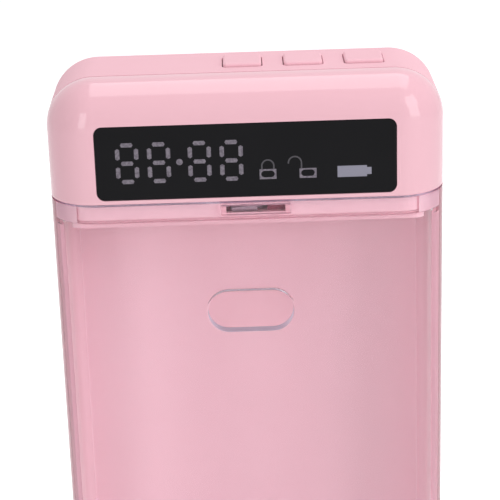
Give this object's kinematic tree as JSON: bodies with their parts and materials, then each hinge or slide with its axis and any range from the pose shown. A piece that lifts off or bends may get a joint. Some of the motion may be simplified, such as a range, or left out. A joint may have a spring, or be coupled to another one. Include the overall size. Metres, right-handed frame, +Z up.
{
  "type": "timed lock container",
  "caption": "Upright clear-fronted box for a phone, closed by a lift-off head with a countdown display, top buttons and a motor-driven lock bolt.",
  "frame": {"origin": "on the floor, under the middle of the box", "axes": "+Z up, +Y to the back, so the clear front faces -Y, and +X to the right seen from the front"},
  "size_m": [0.105, 0.036, 0.2045],
  "materials": {
    "clear_plastic": "polished clear",
    "pink_plastic": "glossy moulded pink",
    "foot_rubber": "matt translucent grey",
    "screw_steel": "plated",
    "window_black": "smoked, polished",
    "display_white": "matt",
    "circuit_board": "solder mask",
    "chip_black": "matt",
    "battery_wrap": "foil",
    "socket_steel": "stamped",
    "lock_plastic": "moulded, deep mauve",
    "gear_brass": "machined",
    "motor_steel": "drawn",
    "bolt_grey": "satin grey"
  },
  "bodies": {
    "container": {"clear_front_shell": "clear_plastic", "rear_shell": "pink_plastic", "rubber_feet": "foot_rubber"},
    "head": {"front_cover": "pink_plastic", "rear_cover": "pink_plastic", "base_tray": "pink_plastic", "case_screws": "screw_steel", "display_window": "window_black", "led_display": "display_white", "main_board": "circuit_board", "board_screws": "screw_steel", "board_chips": "chip_black", "buzzer": "chip_black", "key_board": "circuit_board", "switch_bodies": "chip_black", "battery": "battery_wrap", "charge_board": "circuit_board", "charge_socket": "socket_steel", "lock_housing": "lock_plastic", "gearbox": "gear_brass", "lock_motor": "motor_steel"},
    "left_button": {"left_button": "pink_plastic", "left_switch_plunger": "chip_black"},
    "middle_button": {"middle_button": "pink_plastic", "middle_switch_plunger": "chip_black"},
    "right_button": {"right_button": "pink_plastic", "right_switch_plunger": "chip_black"},
    "latch": {"latch_bolt": "bolt_grey"},
    "drive": {"drive_pinion": "gear_brass", "pinion_shaft": "motor_steel"}
  },
  "joints": [
    {"name": "head_lift", "type": "slide", "parent": "container", "child": "head", "axis": [0, 0, 1], "range_m": [0, 0.06]},
    {"name": "left_button_press", "type": "slide", "parent": "head", "child": "left_button", "axis": [0, 0, -1], "range_m": [0, 0.0005], "stiffness_N_per_m": 1200, "springref_m": -0.0004},
    {"name": "middle_button_press", "type": "slide", "parent": "head", "child": "middle_button", "axis": [0, 0, -1], "range_m": [0, 0.0005], "stiffness_N_per_m": 1200, "springref_m": -0.0004},
    {"name": "right_button_press", "type": "slide", "parent": "head", "child": "right_button", "axis": [0, 0, -1], "range_m": [0, 0.0005], "stiffness_N_per_m": 1200, "springref_m": -0.0004},
    {"name": "bolt_slide", "type": "slide", "parent": "head", "child": "latch", "axis": [0, -1, 0], "range_m": [0, 0.0016]},
    {"name": "pinion_turn", "type": "hinge", "parent": "head", "child": "drive", "pos_m": [0.00798, -0.0033, 0.16805], "axis": [0, 0, 1], "range_deg": [0, 26.24]}
  ],
  "couplings": [
    {"joint": "pinion_turn", "follows": "bolt_slide", "rad_per_m": 285.71}
  ]
}
